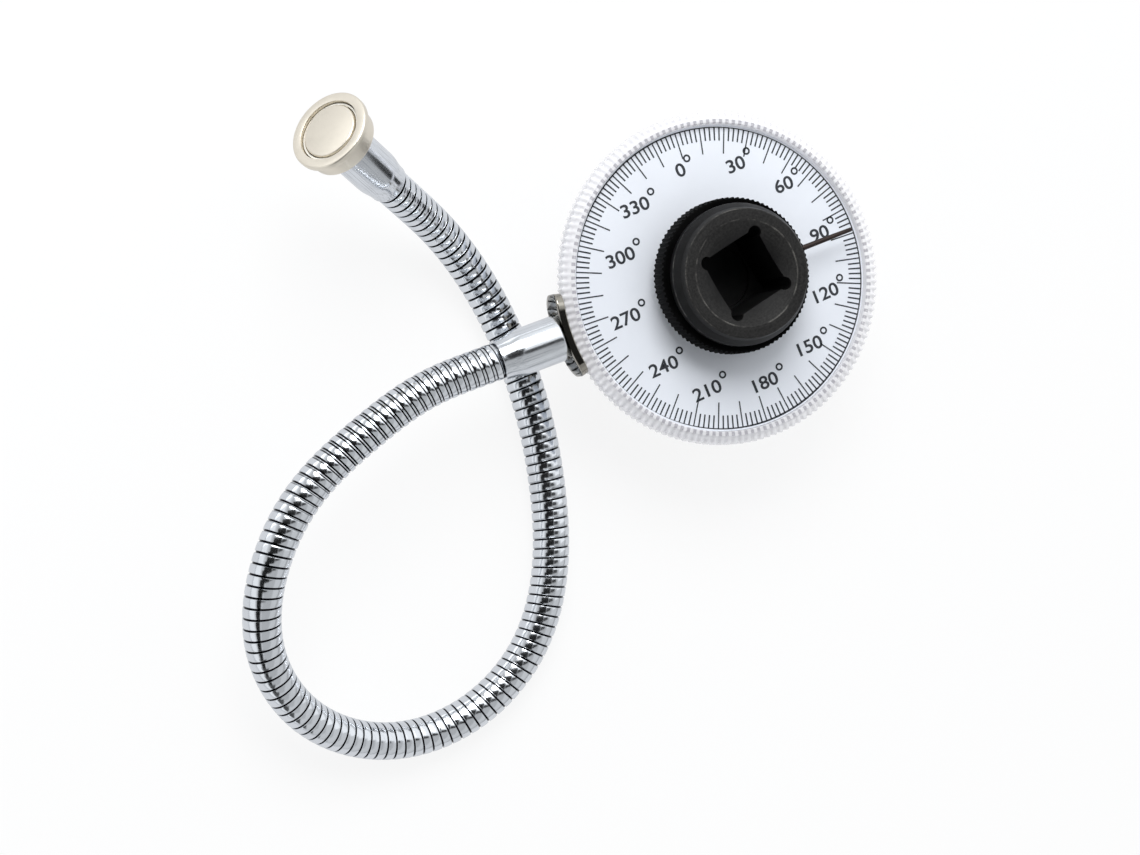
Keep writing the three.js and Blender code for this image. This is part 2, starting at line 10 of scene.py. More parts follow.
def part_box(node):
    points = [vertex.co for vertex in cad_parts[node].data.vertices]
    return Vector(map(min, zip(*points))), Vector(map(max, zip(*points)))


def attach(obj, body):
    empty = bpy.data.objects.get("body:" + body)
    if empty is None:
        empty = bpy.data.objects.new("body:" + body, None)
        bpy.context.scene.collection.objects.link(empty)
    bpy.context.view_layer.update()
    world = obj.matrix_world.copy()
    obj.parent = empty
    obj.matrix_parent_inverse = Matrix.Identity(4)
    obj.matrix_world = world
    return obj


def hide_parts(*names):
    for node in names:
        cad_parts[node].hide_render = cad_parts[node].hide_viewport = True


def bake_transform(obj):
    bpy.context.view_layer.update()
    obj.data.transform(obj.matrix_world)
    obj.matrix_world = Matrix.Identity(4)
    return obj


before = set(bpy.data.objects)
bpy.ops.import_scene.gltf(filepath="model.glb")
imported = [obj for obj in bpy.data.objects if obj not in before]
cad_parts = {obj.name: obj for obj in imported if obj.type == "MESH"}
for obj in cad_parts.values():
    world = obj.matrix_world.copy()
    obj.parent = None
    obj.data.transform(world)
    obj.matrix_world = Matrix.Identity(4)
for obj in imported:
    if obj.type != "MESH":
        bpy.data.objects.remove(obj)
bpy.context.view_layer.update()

MM = 0.001
QUARTER = math.pi / 2
TURN = 2 * math.pi


def low(node):
    """The node's lowest corner, in millimetres."""
    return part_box(node)[0] / MM


def high(node):
    """The node's highest corner, in millimetres."""
    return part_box(node)[1] / MM


# Sizes read off the solids
TOP = high("drive_body").z
HEAD_RADIUS = high("drive_body").x
COLLAR_RADIUS = high("pointer_collar").x
DIAL_FACE = high("dial_plate").z
DIAL_RADIUS = high("dial_plate").x
RIM_RADIUS = high("bezel").x

# Sizes that several pieces share
GAP = 0.3
SCREW_BORE_RADIUS = 1.8
TOOTH_POINTS = 6
ROUNDING_STEPS = 4
SHARP_EDGE = math.radians(32)

# Male square and journal; the bevel is a cone through two points (radius, height)
SQUARE = 12.7
SQUARE_LENGTH = 15.4
SQUARE_OVERLAP = 0.5
SQUARE_EDGE = 0.2
SQUARE_CORNER_RADIUS = 8.4
SQUARE_BEVEL = ((SQUARE_CORNER_RADIUS - 1.6, -1), (SQUARE_CORNER_RADIUS + 0.05, 1.1))
BALL_RADIUS = 2.5
BALL_HEIGHT = 7.7
BALL_BORE_DEPTH = 8.6
BALL_BORE_LENGTH = 12
JOURNAL_RADIUS = 11.0
JOURNAL_BORE = JOURNAL_RADIUS + GAP
RING_GROOVE_DEPTH = 0.8

# Head: shoulder, upright wall, conical flank, flat land, dished mouth and female square
SHOULDER_RADIUS = 12.8
SHOULDER_BOTTOM = DIAL_FACE + 1.3
HEAD_BOTTOM = TOP - 5.5
FLANK_BOTTOM = TOP - 3.5
FLANK_TOP = TOP - 1.5
FLANK_TOP_RADIUS = HEAD_RADIUS - 1
LAND_RADIUS = 12.6
DISH_RADIUS = 10.45
DISH_FLOOR_RADIUS = 6.0
DISH_DEPTH = 1.4
SOCKET = 12.9
SOCKET_DEPTH = 15.5
SOCKET_DRILL_RADIUS = 6.2
SOCKET_DRILL_DEPTH = 1.2
CORNER_RELIEF_RADIUS = 1.3
CORNER_RELIEF_REACH = 9.5
CORNER_RELIEF_STEPS = 16

# Collar, pointer and wave washer; the collar's edge is given as (inset, rise)
COLLAR_TEETH = 90
COLLAR_TOOTH_DEPTH = 0.35
COLLAR_EDGE = ((0.5, 0), (0.25, 0.22), (0, 0.5))
POINTER_ROOT = COLLAR_RADIUS - 1.8
POINTER_TIP = 28.0
POINTER_TURN = math.radians(-11.5)
WAVE_SHEET = 0.35
WAVES = 3

# Rim, with the two bands where painted shade lies between its teeth
RIM_TEETH = 144
RIM_TOOTH_DEPTH = 0.5
RIM_SLOPE_WIDTH = 1.8
RIM_SLOPE_DROP = 1.0
RIM_SLOPE_STEPS = 6
RIM_DIP_WIDTH = 1.6
RIM_DIP_DEPTH = 0.3
RIM_INNER_DOTS = (RIM_RADIUS - 2.72, RIM_RADIUS - 1.7)
RIM_OUTER_DOTS = (RIM_RADIUS - 1.3, RIM_RADIUS - 0.3)
DIAL_EDGE_GAP = 0.06
BACK_PRINT_INSET = 0.6
BACK_PRINT_DEPTHS = (0.06, 0.01)

# Dial print: the zero mark stands ZERO_TURN from +Y, and the numbers are turned LABEL_TURN more.
# A mark is (inner end, half width). The ring line is a painted shadow of the gap between dial and rim; its
# boldness goes in equal steps once round from +X.
ZERO_TURN = math.radians(-13.6)
LABEL_TURN = math.radians(4.5)
MARKS = 180
MARKS_PER_LONG_MARK = 5
LONG_MARK = (24.9, 0.13)
SHORT_MARK = (27.5, 0.15)
MARK_END = 30.2
GAP_SHADOW_LINE_RADIUS = 30.15
GAP_SHADOW_LINE_POINTS = 256
GAP_SHADOW_LINE_HALF = 0.15
GAP_SHADOW_LINE_LEAST_HALF = 0.02
GAP_SHADOW_LINE_SHARES = (0.7, 0.5, 0.5, 0.9, 0.7, 0, 0, 0, 0.7, 1.2, 0.8, 0.7, 0.7)
LABEL_RADIUS = 22.5
LABEL_SHIFT = Vector((0.6, 0.1))
LABEL_NUDGES = {
    0: (0, 0.25), 60: (-0.25, 0.75), 120: (-0.75, -0.25), 150: (0, -0.5), 180: (-0.5, -0.5),
    210: (-1, -0.25), 240: (0.75, -0.5), 270: (0.25, 0), 300: (1, 0.25), 330: (-0.5, 0),
}
NUMBER_SIZE = 3.7
NUMBER_WIDTH_SHARE = 1.14
NUMBER_BOLDNESS = 0.06
DEGREE_RING_RADII = (0.42, 0.78)
DEGREE_RING_SHIFT = 1.15
DEGREE_RING_RISE = 1.8
DEGREE_RING_POINTS = 40
INK_LIFT = 0.02
INK_THICKNESS = 0.02

# Bracket; the tab's levels are (inset, depth) from its face towards the rim over its rounded edge
BRACKET_SHEET = 1.2
BRACKET_RING_WIDTH = 4.6
BRACKET_STRIP_HALF = 6.0
TAB_WIDTH = 17.0
TAB_HEIGHT = 8.2
TAB_CORNER = 2.6
TAB_LEAST_CORNER = 0.3
TAB_CORNER_STEPS = 8
TAB_EDGE_STEPS = 10
TAB_THICKNESS = 1.5
TAB_LEVELS = ((3.6, 0), (2.4, 0), (1.2, 0), (0.2, 0), (0.05, 0.05), (0, 0.15), (0, 0.2))

# Gooseneck route, as the solids' source has it
ARM_ANGLE = math.radians(167.8)
HEADING_TURNS = (
    0, 16, 23.5, 43, 66, 97.5, 127.5, 155.5, 185, 210.5, 235, 251.5, 260, 268.5, 278.5, 293, 309,
)
CURVE_LENGTH = 247.0
TUBE_RADIUS = 3.75
STRAIGHT_RUN = 2 * TUBE_RADIUS
LAST_RUN = STRAIGHT_RUN + 2
DIVE_START, DIVE_SHARE = 0.2, 0.3
CLIMB_START, CLIMB_SHARE = 0.86, 0.14
CLIMB_SLOPE = math.radians(39)
FERRULE_START = RIM_RADIUS + 2.1
FERRULE_LENGTH = 13.0
FERRULE_RADIUS = 4.65
FERRULE_MOUTH = TUBE_RADIUS + 0.35
FERRULE_TAPER = 4.6
FERRULE_TAPER_STEPS = 10
FERRULE_SEAT_RADIUS = 3.6
FERRULE_SEAT_DEPTH = 5.8
NECK_START = FERRULE_START + FERRULE_LENGTH
ARM_HEIGHT = (low("arm_bracket").z + high("arm_bracket").z) / 2
ARM_LENGTH = CURVE_LENGTH + STRAIGHT_RUN + LAST_RUN
ROUTE_STEPS = 2400

# Winding of the gooseneck: its widths are shares of a turn, its depths lie under the tube's
# radius, and the groove's gains start and run in shares of the whole winding
TURNS = 138
TURN_START = -4.5
TURN_PITCH = (ARM_LENGTH - 2 * TURN_START) / TURNS
TUBE_SIDES = 36
TUBE_END_RADIUS = 3.3
GROOVE_DEPTH = 0.3
GROOVE_WIDTH = 0.08
GROOVE_FIRST_GAIN = 0.07
GROOVE_LAST_GAIN = 0.08
GROOVE_LAST_GAIN_START = 0.75
GROOVE_GAIN_RUN = 0.15
INNER_BAND_LEAST_WIDTH = 0.03
INNER_BAND_OPEN_WIDTH = 0.24
INNER_BAND_LEAST_DEPTH = 0.02
INNER_BAND_DEPTH = 0.08
CLOSED_DEPTH = 0.04
CROWN_DEPTH = 0.06
CROWN_SHARES = (0.03, 0.12, 0.3, 0.5, 0.7, 0.88, 0.97)
OPENNESS_SHARES = (1, 0.7, 0.25, 0, 0, 0, 0, 0, 0.1, 0.1, 0, 0, 0)

# The gooseneck's four lengths, in shares of the arm: where they meet, and a span on each one, which is worked
# out but not used
NECK_MEETING_SHARES = (0.185, 0.45, 0.75)
NECK_BEND_SHARES = ((0.02, 0.13), (0.22, 0.38), (0.52, 0.68), (0.82, 0.97))

# Magnet; heights are counted from the cup's foot, and what is sunk lies under its face
MAGNET_FERRULE_LENGTH = 15.5
CUP_RADIUS = 7.1
CUP_HEIGHT = 4.8
CUP_FLOOR = 1.7
CUP_BORE_RADIUS = 6.25
FLANGE_RADIUS = 8.1
FLANGE_THICKNESS = 1.3
COUNTERSINK_RADIUS = 2.9
COUNTERSINK_DEPTH = 1.1
DISC_RADIUS = 5.5
DISC_SINK = 0.15
SPACER_RADII = (5.7, 6.05)
SPACER_SINK = 0.7


class Tap:
    """A shader socket whose sums add Math nodes."""

    def __init__(self, finish, socket):
        self.finish = finish
        self.socket = socket

    def math(self, operation, *others):
        values = dict(enumerate((self, *others)))
        return self.finish.node("ShaderNodeMath", {"operation": operation}, values)

    def __add__(self, other):
        return self.math("ADD", other)

    def __sub__(self, other):
        return self.math("SUBTRACT", other)

    def __rsub__(self, other):
        return (self * -1) + other

    def __mul__(self, other):
        return self.math("MULTIPLY", other)

    def __pow__(self, other):
        return self.math("POWER", other)

    __radd__ = __add__
    __rmul__ = __mul__

    def step(self, start, end):
        """0 before start and 1 after end, smooth between."""
        values = {"Value": self, "From Min": start, "From Max": end}
        return self.finish.node("ShaderNodeMapRange", {"interpolation_type": "SMOOTHSTEP"}, values)

    def band(self, start, end, edge):
        """1 between start and end, with soft edges inside them."""
        return self.step(start, start + edge) * (1 - self.step(end - edge, end))


def length_of(x, y):
    """The length of two shader values taken as a vector."""
    return ((x * x) + (y * y)) ** 0.5


class Finish:
    """One material: its nodes, its principled shader and the shared patterns."""

    def __init__(self, name, sockets=None):
        self.material = bpy.data.materials.new(name)
        self.material.use_nodes = True
        self.start(self.material.node_tree)
        self.shader = self.tree.nodes["Principled BSDF"]
        self.set(sockets or {})

    def start(self, tree):
        self.tree = tree

    def node(self, kind, settings=None, sockets=None, output=0):
        node = self.tree.nodes.new(kind)
        for key, value in (settings or {}).items():
            setattr(node, key, value)
        for key, value in (sockets or {}).items():
            self.plug(node.inputs[key], value)
        return Tap(self, node.outputs[output])

    def plug(self, socket, value):
        if isinstance(value, Tap):
            self.tree.links.new(value.socket, socket)
        else:
            socket.default_value = value

    def set(self, sockets):
        """Links or values for the principled shader's own sockets."""
        for key, value in sockets.items():
            self.plug(self.shader.inputs[key], value)

    def place(self):
        """The point on the piece, in millimetres."""
        point = self.node("ShaderNodeTexCoord", output="Object")
        return self.node("ShaderNodeVectorMath", {"operation": "SCALE"}, {0: point, "Scale": 1 / MM})

    def axes(self):
        split = self.node("ShaderNodeSeparateXYZ", sockets={0: self.place()})
        return [Tap(self, split.socket.node.outputs[i]) for i in range(3)]

    def turned_lines(self, radius, y, x):
        """A pattern point that changes fast across the radius and slowly round the axis."""
        sockets = {"X": radius * 7, "Y": y.math("ARCTAN2", x) * 0.8}
        return self.node("ShaderNodeCombineXYZ", sockets=sockets)

    def stretched(self, scale):
        return self.node("ShaderNodeVectorMath", {"operation": "MULTIPLY"}, {0: self.place(), 1: scale})

    def noise(self, scale, detail=4.0, roughness=0.55, point=None):
        sockets = {"Vector": point or self.place(), "Scale": scale}
        sockets |= {"Detail": detail, "Roughness": roughness}
        return self.node("ShaderNodeTexNoise", sockets=sockets)

    def mix(self, factor, first, second):
        """One colour into another; inputs 6 and 7 are the node's two colours."""
        sockets = {"Factor": factor, 6: first, 7: second}
        return self.node("ShaderNodeMix", {"data_type": "RGBA"}, sockets, output=2)

    def bump(self, height, distance, strength=0.5):
        sockets = {"Height": height, "Distance": distance * MM, "Strength": strength}
        return self.node("ShaderNodeBump", sockets=sockets)


def colour(red, green, blue):
    return (red, green, blue, 1.0)


def darker(tint, share):
    return colour(*(share * part for part in tint[:3]))


def black_oxide(name, refraction, tone=1.0):
    """Black hub: cloudy oxide, a greyer top land, edges rubbed bright, their lighter colour partly painted
    highlight. A tone below 1 makes a darker copy, as painted shade.
    """
    finish = Finish(name, {"IOR": refraction})
    x, y, z = finish.axes()
    radius = length_of(x, y)
    cloud = finish.noise(0.25)
    grain = finish.noise(6.0, 2.0)
    # Edge masks: real rubbed wear, and also a painted highlight along the turned edges
    edge_wear_and_highlight = 0.0
    for edge_radius, edge_height in (
        (DISH_RADIUS, TOP),
        (LAND_RADIUS, TOP),
        (HEAD_RADIUS, FLANK_BOTTOM),
        (HEAD_RADIUS, HEAD_BOTTOM),
        (COLLAR_RADIUS, high("pointer_collar").z),
    ):
        reach = length_of(radius - edge_radius, z - edge_height)
        edge_wear_and_highlight = (1 - reach.step(0.02, 0.24)) + edge_wear_and_highlight
    wear_and_highlight = edge_wear_and_highlight * finish.noise(0.35, 3.0).step(0.42, 0.68) * grain.step(0.2, 0.7)
    # A tone below 1 darkens the oxide: painted shade for the knurl
    dark = colour(0.004 * tone, 0.004 * tone, 0.0042 * tone)
    cloudy = colour(0.009 * tone, 0.009 * tone, 0.0093 * tone)
    base = finish.mix(cloud.step(0.35, 0.7), dark, cloudy)
    turning = finish.noise(1.0, 2.0, point=finish.turned_lines(radius, y, x))
    speckle = finish.noise(2.2, 3.0).step(0.35, 0.65)
    land = z.step(TOP - 1.6, TOP - 0.1) * ((turning.step(0.3, 0.7) * 0.35) + (speckle * 0.45) + 0.3)
    base = finish.mix(land, base, colour(0.026, 0.0255, 0.025))
    finish.set({
        # Lighter colour on the edges: wear and painted highlight
        "Base Color": finish.mix(wear_and_highlight * 0.7, base, colour(0.20, 0.195, 0.18)),
        "Roughness": (cloud * 0.12) + 0.4 - (wear_and_highlight * 0.1),
        "Normal": finish.bump(grain, 0.03, 0.35),
    })
    return finish.material


def chrome(name, tint, rough, groove_shaded=False, drawn=False, grain_strength=0.25):
    """Bright plating: faint smudges and grain, painted shade in the grooves of the winding, draw marks on the
    sleeves.
    """
    finish = Finish(name, {"Metallic": 1.0})
    smudge = finish.noise(0.22, 3.0)
    grain = finish.noise(3.0, 3.0)
    base = finish.mix(smudge.step(0.4, 0.75), tint, darker(tint, 0.93))
    if drawn:
        streak = finish.noise(1.0, 3.0, point=finish.stretched((5.0, 5.0, 0.12)))
        base = finish.mix(streak.step(0.45, 0.75) * 0.45, base, colour(0.30, 0.32, 0.35))
    if groove_shaded:
        # The winding's groove attribute is painted shade: darker in its grooves
        depth = finish.node("ShaderNodeAttribute", {"attribute_name": "groove"}, output="Fac")
        base = finish.mix(depth, base, colour(0.006, 0.007, 0.009))
    finish.set({
        "Base Color": base,
        "Roughness": (smudge * 0.08) + (grain * 0.05) + rough,
        "Normal": finish.bump(grain, 0.012, grain_strength),
    })
    return finish.material


def plain_metal(name, tint, rough):
    """Turned bare metal with concentric tool marks."""
    finish = Finish(name, {"Metallic": 1.0})
    x, y, _ = finish.axes()
    rings = (length_of(x, y) * 24).math("SINE")
    cloud = finish.noise(0.4)
    finish.set({
        "Base Color": finish.mix(cloud.step(0.35, 0.7), tint, darker(tint, 0.8)),
        "Roughness": (cloud * 0.15) + rough,
        "Normal": finish.bump(rings, 0.01, 0.2),
    })
    return finish.material


def plastic(name, tint, rough):
    """Moulded plastic with a slight mottle."""
    finish = Finish(name)
    cloud = finish.noise(0.12)
    grain = finish.noise(4.0)
    finish.set({
        "Base Color": finish.mix(cloud.step(0.3, 0.7), tint, darker(tint, 0.975)),
        "Roughness": (cloud * 0.1) + rough,
        "Normal": finish.bump(grain, 0.01, 0.12),
    })
    return finish.material


def clear_plastic():
    """Clear rim: glossy and a little milky, with a faint painted glow, and painted shade in the roots of its
    knurl, broken up by noise.
    """
    # Faint emission: a painted glow that brightens the rim
    painted_glow = {"Emission Strength": 0.1, "Emission Color": colour(0.97, 0.97, 1)}
    finish = Finish("clear_plastic", {"IOR": 1.49, **painted_glow})
    cloud = finish.noise(0.15)
    shade_breakup = finish.noise(2.5, 3.0)
    x, y, _ = finish.axes()
    radius = length_of(x, y)
    # Dots of painted shade in the knurl's roots, standing in for the dark roots seen through the plastic
    root = (y.math("ARCTAN2", x) * RIM_TEETH).math("COSINE").step(0.3, -0.3)
    inner_dots = root * radius.band(*RIM_INNER_DOTS, 0.15)
    outer_dots = root * radius.band(*RIM_OUTER_DOTS, 0.3)
    # The shade mask: painted shade, darker and more opaque on the dots
    shade = (inner_dots * shade_breakup.step(0.15, 0.5) * 0.75) + (outer_dots * 0.25)
    milky = finish.mix(cloud.step(0.3, 0.7), colour(0.97, 0.965, 0.98), colour(0.92, 0.915, 0.935))
    finish.set({
        "Base Color": finish.mix(shade, milky, colour(0.16, 0.15, 0.19)),
        "Roughness": (cloud * 0.08) + 0.08,
        "Alpha": (shade * 0.3) + 0.6,
    })
    return finish.material


def ink():
    """Dark print, a little uneven."""
    finish = Finish("dial_ink", {"Specular IOR Level": 0.3})
    cloud = finish.noise(1.5)
    finish.set({
        "Base Color": finish.mix(cloud, colour(0.022, 0.024, 0.03), colour(0.045, 0.05, 0.06)),
        "Roughness": (cloud * 0.2) + 0.45,
    })
    return finish.material


BLACK_OXIDE = black_oxide("black_oxide_steel", 1.22)
# Darker, duller copy of the oxide for the knurled collar: painted shade
SHADED_BLACK_KNURL = black_oxide("black_oxide_knurl_painted_shade", 1.06, tone=0.4)
WOUND_CHROME = chrome("wound_chrome", colour(0.80, 0.83, 0.87), 0.08, groove_shaded=True)
DRAWN_CHROME = chrome("drawn_chrome", colour(0.80, 0.83, 0.87), 0.1, drawn=True)
NICKEL_SHEET = chrome("nickel_sheet", colour(0.36, 0.34, 0.30), 0.0, grain_strength=0.06)
MAGNET_NICKEL = chrome("magnet_nickel", colour(0.87, 0.81, 0.70), 0.28)
PLAIN_STEEL = plain_metal("plain_steel", colour(0.45, 0.46, 0.47), 0.25)
BRONZE = plain_metal("bronze", colour(0.50, 0.32, 0.14), 0.35)
BLUED_WIRE = plain_metal("blued_wire", colour(0.055, 0.043, 0.040), 0.3)
NYLON = plastic("nylon", colour(0.80, 0.78, 0.72), 0.45)
DIAL_WHITE = plastic("dial_white", colour(0.84, 0.875, 0.94), 0.35)
CLEAR_PLASTIC = clear_plastic()
INK = ink()


def unit(value):
    """The value, held between 0 and 1."""
    return min(max(value, 0), 1)


def through_table(table, share):
    """Smooth curve through a table at equal steps."""
    last = len(table) - 1
    x = unit(share) * last
    i = min(math.floor(x), last - 1)
    f = x - i
    a, b, c, d = (table[min(max(i + k, 0), last)] for k in (-1, 0, 1, 2))
    return b + 0.5 * f * (c - a + f * (2 * a - 5 * b + 4 * c - d + f * (3 * (b - c) + d - a)))


def arc(radius, first, last, steps):
    angles = (first + (last - first) * k / steps for k in range(steps + 1))
    return [(radius * math.cos(angle), radius * math.sin(angle)) for angle in angles]


def section(inner, outer, bottom, top):
    """A plain ring's section, or a disc's where inner is 0."""
    return [(inner, bottom), (outer, bottom), (outer, top), (inner, top)]


def rounded(corners, closed):
    """The corners (radius, height, rounding) of a section, with arcs where a rounding is given."""
    points = []
    for i, corner in enumerate(corners):
        here = Vector(corner[:2])
        rounding = corner[2] if len(corner) > 2 else 0
        if not rounding or (not closed and i in (0, len(corners) - 1)):
            points.append(here)
            continue
        before = (Vector(corners[i - 1][:2]) - here).normalized()
        after = (Vector(corners[(i + 1) % len(corners)][:2]) - here).normalized()
        half = before.angle(after) / 2
        centre = here + (before + after).normalized() * (rounding / math.sin(half))
        run = rounding / math.tan(half)
        start = here + before * run - centre
        sweep = start.angle_signed(here + after * run - centre)
        for k in range(ROUNDING_STEPS + 1):
            points.append(centre + Matrix.Rotation(-sweep * k / ROUNDING_STEPS, 2) @ start)
    return points


def skin(build, rings, closed):
    """Faces between neighbouring rings of vertices; a ring of one vertex is a pole."""
    pairs = list(zip(rings, rings[1:]))
    if closed:
        pairs.append((rings[-1], rings[0]))
    for first, second in pairs:
        for k in range(max(len(first), len(second))):
            loop = (
                first[k % len(first)],
                first[(k + 1) % len(first)],
                second[(k + 1) % len(second)],
                second[k % len(second)],
            )
            build.faces.new(dict.fromkeys(loop))


def turned(corners, sides=128, closed=False, shape=None):
    """A turned shape about Z. shape(angle, radius, height) can move each point."""
    build = bmesh.new()
    rings = []
    for radius, height in rounded(corners, closed):
        ring = []
        for k in range(sides if radius > 1e-6 else 1):
            angle = TURN * k / sides
            r, z = shape(angle, radius, height) if shape else (radius, height)
            ring.append(build.verts.new((r * math.cos(angle), r * math.sin(angle), z)))
        rings.append(ring)
    skin(build, rings, closed)
    return build


def prism(outline, bottom, top, rounding=0.0):
    """An outline stood up between two heights, its edges rounded."""
    build = bmesh.new()
    base = build.faces.new([build.verts.new((x, y, bottom)) for x, y in outline])
    lifted = bmesh.ops.extrude_face_region(build, geom=[base])["geom"]
    upper = [v for v in lifted if isinstance(v, bmesh.types.BMVert)]
    bmesh.ops.translate(build, vec=(0, 0, top - bottom), verts=upper)
    if rounding:
        edges = [e for e in build.edges if abs(e.verts[0].co.z - e.verts[1].co.z) < 1e-6]
        bmesh.ops.bevel(build, geom=edges, offset=rounding, segments=3, affect="EDGES", clamp_overlap=True)
    return build


def mark_sharp_edges(build):
    for edge in build.edges:
        edge.smooth = len(edge.link_faces) == 2 and edge.calc_face_angle() < SHARP_EDGE


def make(name, build, finish):
    """The built shape as an object in metres, smooth but for its sharp edges."""
    bmesh.ops.recalc_face_normals(build, faces=build.faces)
    bmesh.ops.scale(build, vec=(MM, MM, MM), verts=build.verts)
    for face in build.faces:
        face.smooth = True
    mark_sharp_edges(build)
    mesh = bpy.data.meshes.new(name)
    build.to_mesh(mesh)
    build.free()
    piece = bpy.data.objects.new(name, mesh)
    bpy.context.collection.objects.link(piece)
    mesh.materials.append(finish)
    return piece


def carve(piece, tools, operation="DIFFERENCE"):
    """The piece less the tools, or what it shares with them."""
    for tool in tools:
        modifier = piece.modifiers.new(tool.name, "BOOLEAN")
        modifier.operation = operation
        modifier.object = tool
        modifier.solver = "EXACT"
    carved = piece.evaluated_get(bpy.context.evaluated_depsgraph_get())
    build = bmesh.new()
    build.from_mesh(carved.to_mesh())
    mark_sharp_edges(build)
    piece.modifiers.clear()
    build.to_mesh(piece.data)
    build.free()
    for tool in tools:
        bpy.data.objects.remove(tool)
    return piece


def place(piece, body, *nodes, at=None):
    """The piece stands at its matrix, rides on a body and stands for the solids' nodes."""
    if at is not None:
        piece.matrix_world = at
    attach(piece, body)
    if nodes:
        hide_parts(*nodes)


def repaint(node, finish):
    """A solid that stays in view gets a better finish."""
    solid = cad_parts[node]
    solid.data.materials.clear()
    solid.data.materials.append(finish)


def socket_outline():
    """The female square with its four corner reliefs."""
    centre = (CORNER_RELIEF_REACH - CORNER_RELIEF_RADIUS) * math.sqrt(0.5)
    side = SOCKET / 2 - centre
    first = -math.acos(side / CORNER_RELIEF_RADIUS)
    around = arc(1, first, QUARTER - first, CORNER_RELIEF_STEPS)
    relief = [Vector((centre, centre)) + Vector(spot) * CORNER_RELIEF_RADIUS for spot in around]
    outline = []
    for corner in range(4):
        spin = Matrix.Rotation(corner * QUARTER, 2)
        outline += [spin @ spot for spot in relief]
    return outline


def make_head():
    """Journal, shoulder and head, with the socket and its drill mark sunk into the dished mouth."""
    groove_radius = JOURNAL_RADIUS - RING_GROOVE_DEPTH
    groove_bottom, groove_top = low("retaining_ring").z - GAP, high("retaining_ring").z + GAP
    profile = turned([
        (0, SQUARE_LENGTH), (JOURNAL_RADIUS, SQUARE_LENGTH, 0.3), (JOURNAL_RADIUS, groove_bottom),
        (groove_radius, groove_bottom), (groove_radius, groove_top), (JOURNAL_RADIUS, groove_top),
        (JOURNAL_RADIUS, SHOULDER_BOTTOM), (SHOULDER_RADIUS, SHOULDER_BOTTOM, 0.3),
        (SHOULDER_RADIUS, HEAD_BOTTOM), (HEAD_RADIUS, HEAD_BOTTOM, 0.25),
        (HEAD_RADIUS, FLANK_BOTTOM, 0.35), (FLANK_TOP_RADIUS, FLANK_TOP, 0.5), (LAND_RADIUS, TOP, 0.3),
        (DISH_RADIUS, TOP, 0.12), (DISH_FLOOR_RADIUS, TOP - DISH_DEPTH), (0, TOP - DISH_DEPTH),
    ], sides=192)
    floor = TOP - SOCKET_DEPTH
    socket = make("socket_tool", prism(socket_outline(), floor, TOP + 2), BLACK_OXIDE)
    drill = turned(section(0, SOCKET_DRILL_RADIUS, floor - SOCKET_DRILL_DEPTH, floor + 1), sides=96)
    head = make("drive_head", profile, BLACK_OXIDE)
    carve(head, [socket, make("drill_tool", drill, BLACK_OXIDE)])
    place(head, "drive", "drive_body")


def make_square():
    """The male square: corners turned down, tip bevelled, and a bore for the ball."""
    half = SQUARE / 2
    outline = [(-half, -half), (half, -half), (half, half), (-half, half)]
    bar = prism(outline, 0, SQUARE_LENGTH + SQUARE_OVERLAP, SQUARE_EDGE)
    above = SQUARE_LENGTH + 1
    corners = turned([(0, -1), *SQUARE_BEVEL, (SQUARE_CORNER_RADIUS, above), (0, above)], sides=144)
    square = make("drive_square", bar, BLACK_OXIDE)
    carve(square, [make("corner_tool", corners, BLACK_OXIDE)], "INTERSECT")
    bore = turned(section(0, BALL_RADIUS + GAP, 0, BALL_BORE_LENGTH), sides=64)
    hole = make("hole_tool", bore, BLACK_OXIDE)
    spot = Vector((half - BALL_BORE_DEPTH, 0, BALL_HEIGHT)) * MM
    hole.matrix_world = Matrix.Translation(spot) @ Matrix.Rotation(QUARTER, 4, "Y")
    bpy.context.view_layer.update()
    place(carve(square, [hole]), "drive", "drive_body")


def half_circle(radius, steps=24):
    return [
        (max(radius * math.sin(math.pi * k / steps), 0), -radius * math.cos(math.pi * k / steps))
        for k in range(steps + 1)
    ]


def make_detent():
    ball = make("detent_steel_ball", turned(half_circle(BALL_RADIUS), sides=64), PLAIN_STEEL)
    middle = (low("detent_ball") + high("detent_ball")) / 2
    place(ball, "ball", "detent_ball", at=Matrix.Translation(middle * MM))
    repaint("detent_spring", PLAIN_STEEL)


def between_teeth(angle, teeth):
    """0 on the flat tip of a tooth, 1 on the flat root between two."""
    share = (angle / TURN * teeth) % 1
    return 1 - unit((abs(share - 0.5) * 2 - 0.25) * 2)


def make_collar():
    """Black collar with its knurl and rounded edges."""
    bottom, top = low("pointer_collar").z, high("pointer_collar").z
    bore = SHOULDER_RADIUS + GAP
    lower = [(COLLAR_RADIUS - inset, bottom + rise) for inset, rise in COLLAR_EDGE]
    upper = [(COLLAR_RADIUS - inset, top - rise) for inset, rise in reversed(COLLAR_EDGE)]
    rows = [(bore, bottom, 0.2), *lower, *upper, (bore, top, 0.2)]

    def knurled(angle, radius, height):
        root = between_teeth(angle, COLLAR_TEETH)
        return min(radius, COLLAR_RADIUS - COLLAR_TOOTH_DEPTH * root), height

    knurl = turned(rows, COLLAR_TEETH * TOOTH_POINTS, True, knurled)
    place(make("knurled_collar", knurl, SHADED_BLACK_KNURL), "drive", "pointer_collar")


def make_pointer():
    """Thin wire from inside the collar out over the scale, a little thinner towards its tip."""
    wire = turned([
        (0, POINTER_ROOT), (0.6, POINTER_ROOT), (0.58, COLLAR_RADIUS), (0.5, POINTER_TIP - 5),
        (0.42, POINTER_TIP, 0.2), (0, POINTER_TIP),
    ], sides=32)
    middle = (low("pointer").z + high("pointer").z) / 2
    spot = Matrix.Translation((0, 0, middle * MM))
    spot = spot @ Matrix.Rotation(POINTER_TURN, 4, "Z") @ Matrix.Rotation(QUARTER, 4, "Y")
    place(make("pointer_wire", wire, BLUED_WIRE), "drive", "pointer", at=spot)


